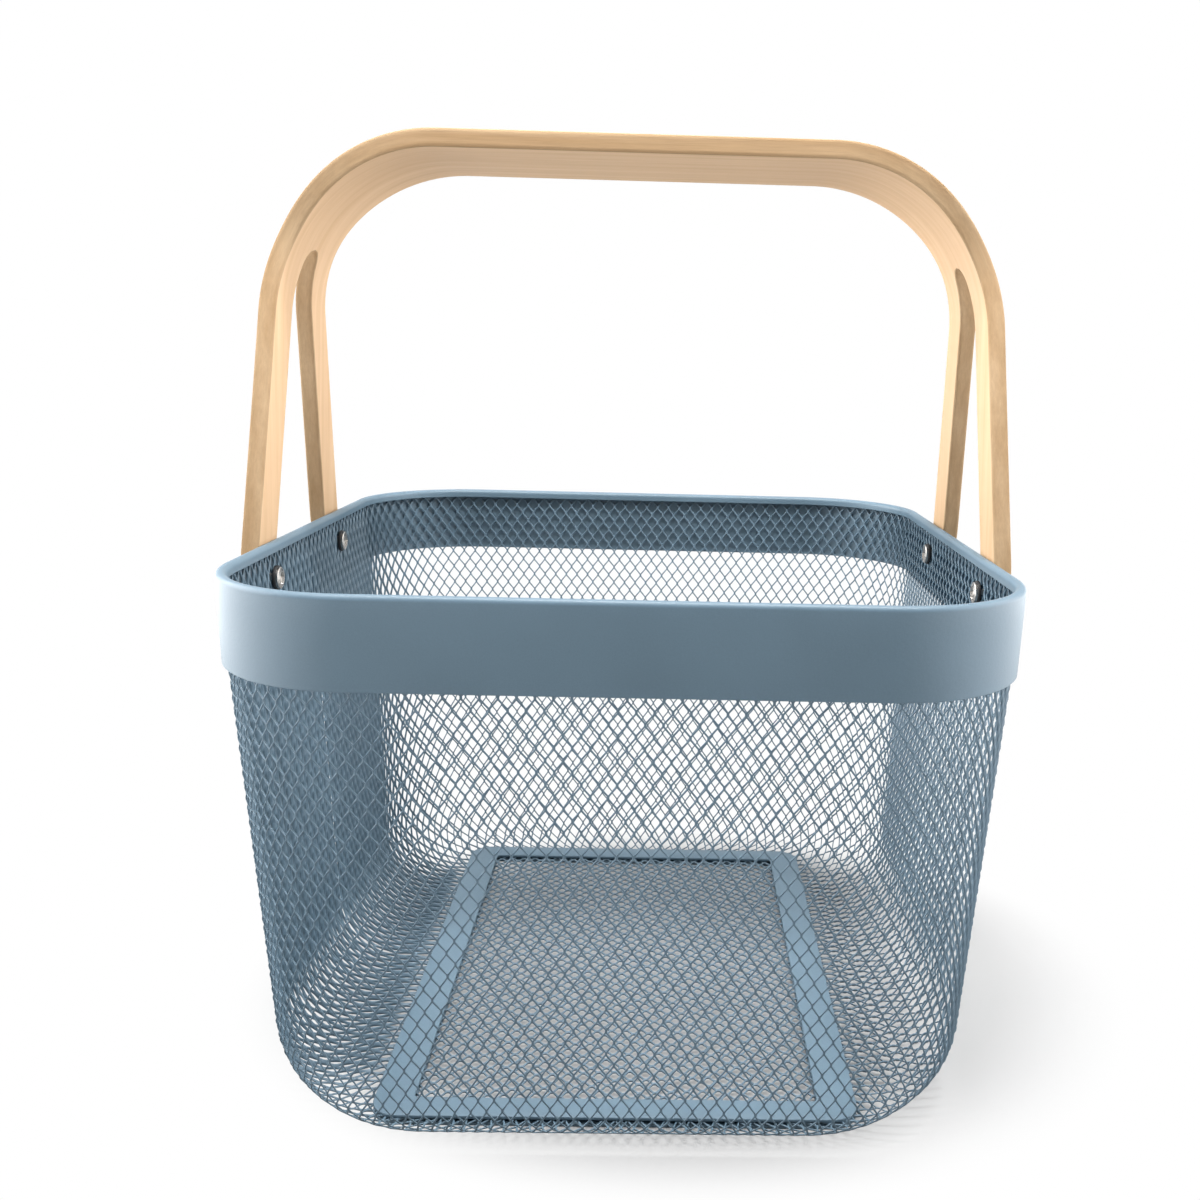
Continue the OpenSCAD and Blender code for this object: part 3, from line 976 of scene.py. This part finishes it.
def washer(name, node, side):
    """A flat ring with softened outer edges."""
    centre, inner, outer, r = reach_of(node, side)
    edge = 0.35
    soft_edge = edge * EDGE_MIDDLE
    profile = [(inner + edge, r), (outer - edge, r), (outer, r - edge), (outer, SLEEVE_BORE_R)]
    profile += [(inner, SLEEVE_BORE_R), (inner, r - edge), (inner + soft_edge, r - soft_edge)]
    points = np.concatenate([turned_ring(x, radius) for x, radius in profile])
    faces = outward(points, ring_walls(len(profile), True))
    return place_at_screw(build(name, points, faces, nylon), centre, side)


def sleeve_nut(name, node, side):
    """A flanged cap with a socket on the leg's outer face, and the sleeve behind it."""
    centre, inner, outer, r = reach_of(node, side)
    cap_edge = 0.12
    cap_flat = 0.62
    cap_bow = 0.288
    cap_h = 1.0
    outline = [(cap_edge - outer, 0.0)]
    for t in np.linspace(cap_flat, 1.0, 5):
        fall = (t - cap_flat) ** 2 / cap_bow
        outline.append((cap_edge + fall - outer, r * t - cap_edge))
    outline += [(0.75 - outer, r), (cap_h - outer, r - 0.1), (cap_h - outer, SLEEVE_R)]
    outline += [(-inner, SLEEVE_R), (-inner, SLEEVE_BORE_R)]
    return place_at_screw(lathe_with_socket(name, outline, 1.6), centre, -side)


for end in ("front", "rear"):
    for hand, side in (("left", -1), ("right", 1)):
        where = f"{end}_{hand}"
        part = screw(f"screw_{where}_domed", f"screw_{where}", side)
        finish_piece(part, "zinc_screw", f"screw_{where}")
        part = washer(f"washer_{where}_nylon", f"washer_{where}", side)
        finish_piece(part, "black_washer", f"washer_{where}")
        part = sleeve_nut(f"sleeve_nut_{where}_flanged", f"sleeve_nut_{where}", side)
        finish_piece(part, "zinc_screw", f"sleeve_nut_{where}")

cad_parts["rim_wire"].data.materials.clear()
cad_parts["rim_wire"].data.materials.append(coat_band)


# ---------- floor, light and camera ----------

# From here on lengths are in metres, but for the camera's place. The floor and the world differ between
# the camera's own rays and all others.
# FLOOR_SEEN is the floor's tone for the camera's own rays, and FLOOR_BOUNCE its tone for all others.
FLOOR_SEEN = 0.44
FLOOR_BOUNCE = 0.25
# The world's brightness in front and behind for all rays but the camera's own, and its brightest way.
ROOM_FRONT = 0.0
ROOM_REAR = 0.9
ROOM_WAY = (0.0, 0.92, 0.39)
# Light that the floor gives off at the left, right and rear, for all rays but the camera's own.
LEFT_GLOW = 4.2
RIGHT_GLOW = 2.9
REAR_GLOW = 0.8
# Distances from the middle at which the glows start and are full.
GLOW_START = 0.4
GLOW_FULL = 0.75
REAR_GLOW_FULL = 0.9
# An ellipse round the basket. To the camera the floor turns from its own tone to pure white emitted light
# between these two shares of the ellipse's size. This is painted light, and it hides the basket's shadow
# outside the ellipse.
SHADOW_CENTRE = (0.024, 0.0, 0.0)
SHADOW_REACH = (0.17, 0.14, 1.0)
FADE_START = 0.72
FADE_END = 1.05


def studio_floor():
    """A pale floor. For the camera's own rays it turns to pure white emitted light away from the basket.
    This painted light hides the basket's shadow there. For all others it is darker, and gives off light
    at the left, right and rear."""
    mesh = bpy.data.meshes.new("studio_floor")
    size = 40.0
    corners = [(-size, -size, 0), (size, -size, 0), (size, size, 0), (-size, size, 0)]
    mesh.from_pydata(corners, [], [(0, 1, 2, 3)])
    floor = bpy.data.objects.new("studio_floor", mesh)
    bpy.context.scene.collection.objects.link(floor)
    material, nodes, links, shader = new_material("studio_floor")
    straight = nodes.new("ShaderNodeLightPath").outputs["Is Camera Ray"]
    links.new(
        blend_colours(nodes, links, straight, (FLOOR_BOUNCE,) * 3, (FLOOR_SEEN,) * 3),
        shader.inputs["Base Color"],
    )
    shader.inputs["Roughness"].default_value = 0.9
    shader.inputs["Specular IOR Level"].default_value = 0.1
    # Painted light: pure white emission that the camera sees away from the basket, in place of the
    # floor's shading and the basket's shadow.
    white = nodes.new("ShaderNodeEmission")
    place = nodes.new("ShaderNodeTexCoord").outputs["Object"]
    shift = nodes.new("ShaderNodeMapping")
    shift.vector_type = "TEXTURE"
    shift.inputs["Location"].default_value = SHADOW_CENTRE
    shift.inputs["Scale"].default_value = SHADOW_REACH
    links.new(place, shift.inputs["Vector"])
    away = nodes.new("ShaderNodeVectorMath")
    away.operation = "LENGTH"
    links.new(shift.outputs["Vector"], away.inputs[0])
    fade = spread(nodes, links, away.outputs["Value"], FADE_START, FADE_END, 0.0, 1.0)
    fade.interpolation_type = "SMOOTHSTEP"
    seen = arithmetic(nodes, links, "MULTIPLY", fade.outputs["Result"], straight)
    pick = nodes.new("ShaderNodeMixShader")
    links.new(seen, pick.inputs["Fac"])
    links.new(shader.outputs["BSDF"], pick.inputs[1])
    links.new(white.outputs["Emission"], pick.inputs[2])
    axis = nodes.new("ShaderNodeSeparateXYZ")
    links.new(place, axis.inputs["Vector"])
    x, y = axis.outputs["X"], axis.outputs["Y"]
    left = spread(nodes, links, x, -GLOW_FULL, -GLOW_START, LEFT_GLOW, 0.0)
    right = spread(nodes, links, x, GLOW_START, GLOW_FULL, 0.0, RIGHT_GLOW)
    rear = spread(nodes, links, y, GLOW_START, REAR_GLOW_FULL, 0.0, REAR_GLOW)
    sides = arithmetic(nodes, links, "ADD", left.outputs["Result"], right.outputs["Result"])
    glow = arithmetic(nodes, links, "ADD", sides, rear.outputs["Result"])
    bounced = arithmetic(nodes, links, "SUBTRACT", 1.0, straight)
    lit = nodes.new("ShaderNodeEmission")
    links.new(arithmetic(nodes, links, "MULTIPLY", glow, bounced), lit.inputs["Strength"])
    both = nodes.new("ShaderNodeAddShader")
    links.new(pick.outputs["Shader"], both.inputs[0])
    links.new(lit.outputs["Emission"], both.inputs[1])
    links.new(both.outputs["Shader"], nodes["Material Output"].inputs["Surface"])
    mesh.materials.append(material)


def studio_world():
    """Pure white for the camera's own rays. For all others, dark in front and bright behind."""
    world = bpy.data.worlds.new("studio")
    bpy.context.scene.world = world
    world.use_nodes = True
    nodes, links = world.node_tree.nodes, world.node_tree.links
    nodes.clear()
    output = nodes.new("ShaderNodeOutputWorld")
    seen = nodes.new("ShaderNodeBackground")
    seen.inputs["Strength"].default_value = 1.0
    lit = nodes.new("ShaderNodeBackground")
    for node in (seen, lit):
        node.inputs["Color"].default_value = (1, 1, 1, 1)
    way = nodes.new("ShaderNodeVectorMath")
    way.operation = "DOT_PRODUCT"
    way.inputs[1].default_value = ROOM_WAY
    links.new(nodes.new("ShaderNodeTexCoord").outputs["Generated"], way.inputs[0])
    strength = spread(nodes, links, way.outputs["Value"], -0.5, 0.4, ROOM_FRONT, ROOM_REAR)
    links.new(strength.outputs["Result"], lit.inputs["Strength"])
    path = nodes.new("ShaderNodeLightPath")
    pick = nodes.new("ShaderNodeMixShader")
    links.new(path.outputs["Is Camera Ray"], pick.inputs["Fac"])
    links.new(lit.outputs["Background"], pick.inputs[1])
    links.new(seen.outputs["Background"], pick.inputs[2])
    links.new(pick.outputs["Shader"], output.inputs["Surface"])


def softbox(name, place, aim, width, height, power):
    """A rectangular lamp that faces the point it aims at."""
    data = bpy.data.lights.new(name, "AREA")
    data.shape = "RECTANGLE"
    data.size = width
    data.size_y = height
    data.energy = power
    lamp = bpy.data.objects.new(name, data)
    bpy.context.scene.collection.objects.link(lamp)
    lamp.location = place
    direction = Vector(aim) - Vector(place)
    lamp.rotation_euler = direction.to_track_quat("-Z", "Y").to_euler()


CAMERA_LENS = 36.0
CAMERA_SENSOR = 36.0
CAMERA_SHIFT = -0.0792
CAMERA_YAW = math.radians(1.387)
CAMERA_PITCH = math.radians(-11.678)
CAMERA_ROLL = math.radians(1.508)
CAMERA_X = 13.05
CAMERA_Y = -452.2
CAMERA_ABOVE_RIM = 67.6


def camera():
    """A close, low look down into the basket's mouth from the front. Its place is in millimetres."""
    data = bpy.data.cameras.new("camera")
    data.lens = CAMERA_LENS
    data.sensor_width = CAMERA_SENSOR
    data.shift_x = CAMERA_SHIFT
    data.clip_start = 0.01
    data.clip_end = 50
    level = math.cos(CAMERA_PITCH)
    forward = Vector(
        (math.sin(CAMERA_YAW) * level, math.cos(CAMERA_YAW) * level, math.sin(CAMERA_PITCH))
    )
    right = Vector((math.cos(CAMERA_YAW), -math.sin(CAMERA_YAW), 0))
    up = right.cross(forward)
    rolled_right = right * math.cos(CAMERA_ROLL) + up * math.sin(CAMERA_ROLL)
    rolled_up = up * math.cos(CAMERA_ROLL) - right * math.sin(CAMERA_ROLL)
    eye = Vector((CAMERA_X, CAMERA_Y, RIM_Z + CAMERA_ABOVE_RIM)) * MM
    rows = [(rolled_right[i], rolled_up[i], -forward[i], eye[i]) for i in range(3)]
    lens_object = bpy.data.objects.new("camera", data)
    bpy.context.scene.collection.objects.link(lens_object)
    lens_object.matrix_world = Matrix((*rows, (0, 0, 0, 1)))
    bpy.context.scene.camera = lens_object


studio_floor()
studio_world()
softbox("key_left", (-1.8, 0.3, 0.9), (0, 0, 0.12), 2.4, 1.5, 58)
softbox("fill_right", (1.6, 0.0, 0.75), (0, 0, 0.12), 2.4, 1.5, 32)
softbox("top", (0.0, -0.1, 1.8), (0, 0, 0.1), 2.2, 2.2, 25)
softbox("into_the_basket", (0, -0.1, 0.62), (0, 0.13, 0.15), 0.5, 0.05, 2.8)
camera()
bpy.context.scene.view_settings.view_transform = "Standard"
